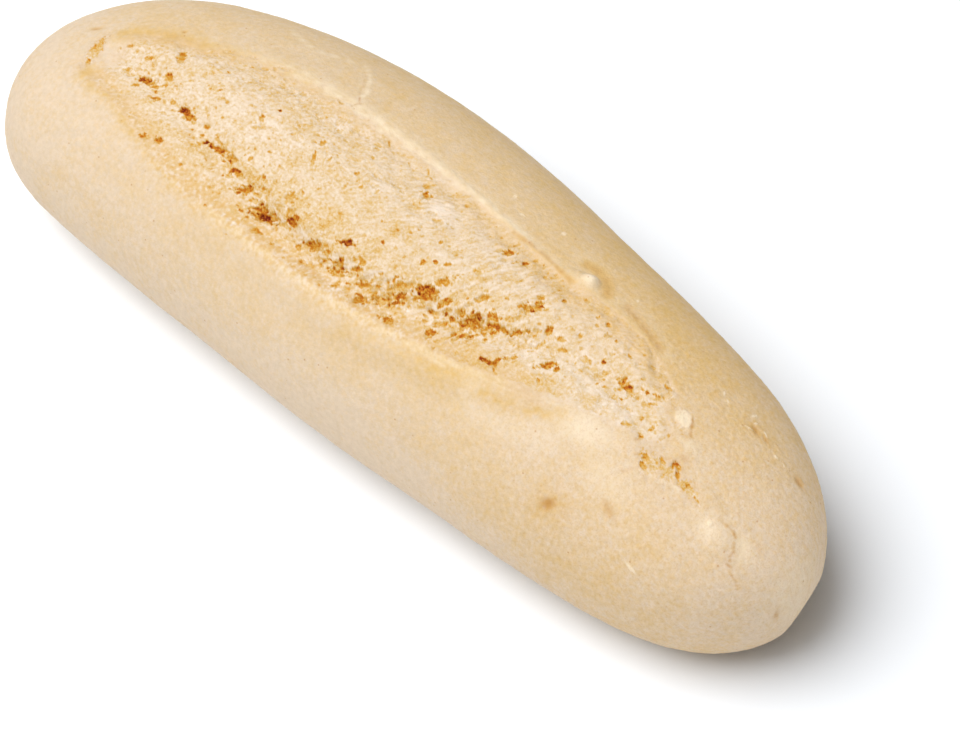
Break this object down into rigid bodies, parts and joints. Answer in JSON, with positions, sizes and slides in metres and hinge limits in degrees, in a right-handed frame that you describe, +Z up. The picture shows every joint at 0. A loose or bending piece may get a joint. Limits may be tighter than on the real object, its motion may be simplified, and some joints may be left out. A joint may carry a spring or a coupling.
{
  "type": "baguette",
  "caption": "Short pale part-baked baguette with a flat base, blunt rounded ends and one long score torn open along the top.",
  "frame": {"origin": "middle of the loaf's footprint, on its flat base", "axes": "+X runs along the loaf towards its narrower end, +Y runs across it, with the tear on the -Y side of the ridge, and +Z is up"},
  "size_m": [0.2002, 0.0722, 0.0455],
  "materials": {
    "crust": "matte"
  },
  "bodies": {
    "root": {"baguette": "crust"}
  },
  "joints": []
}
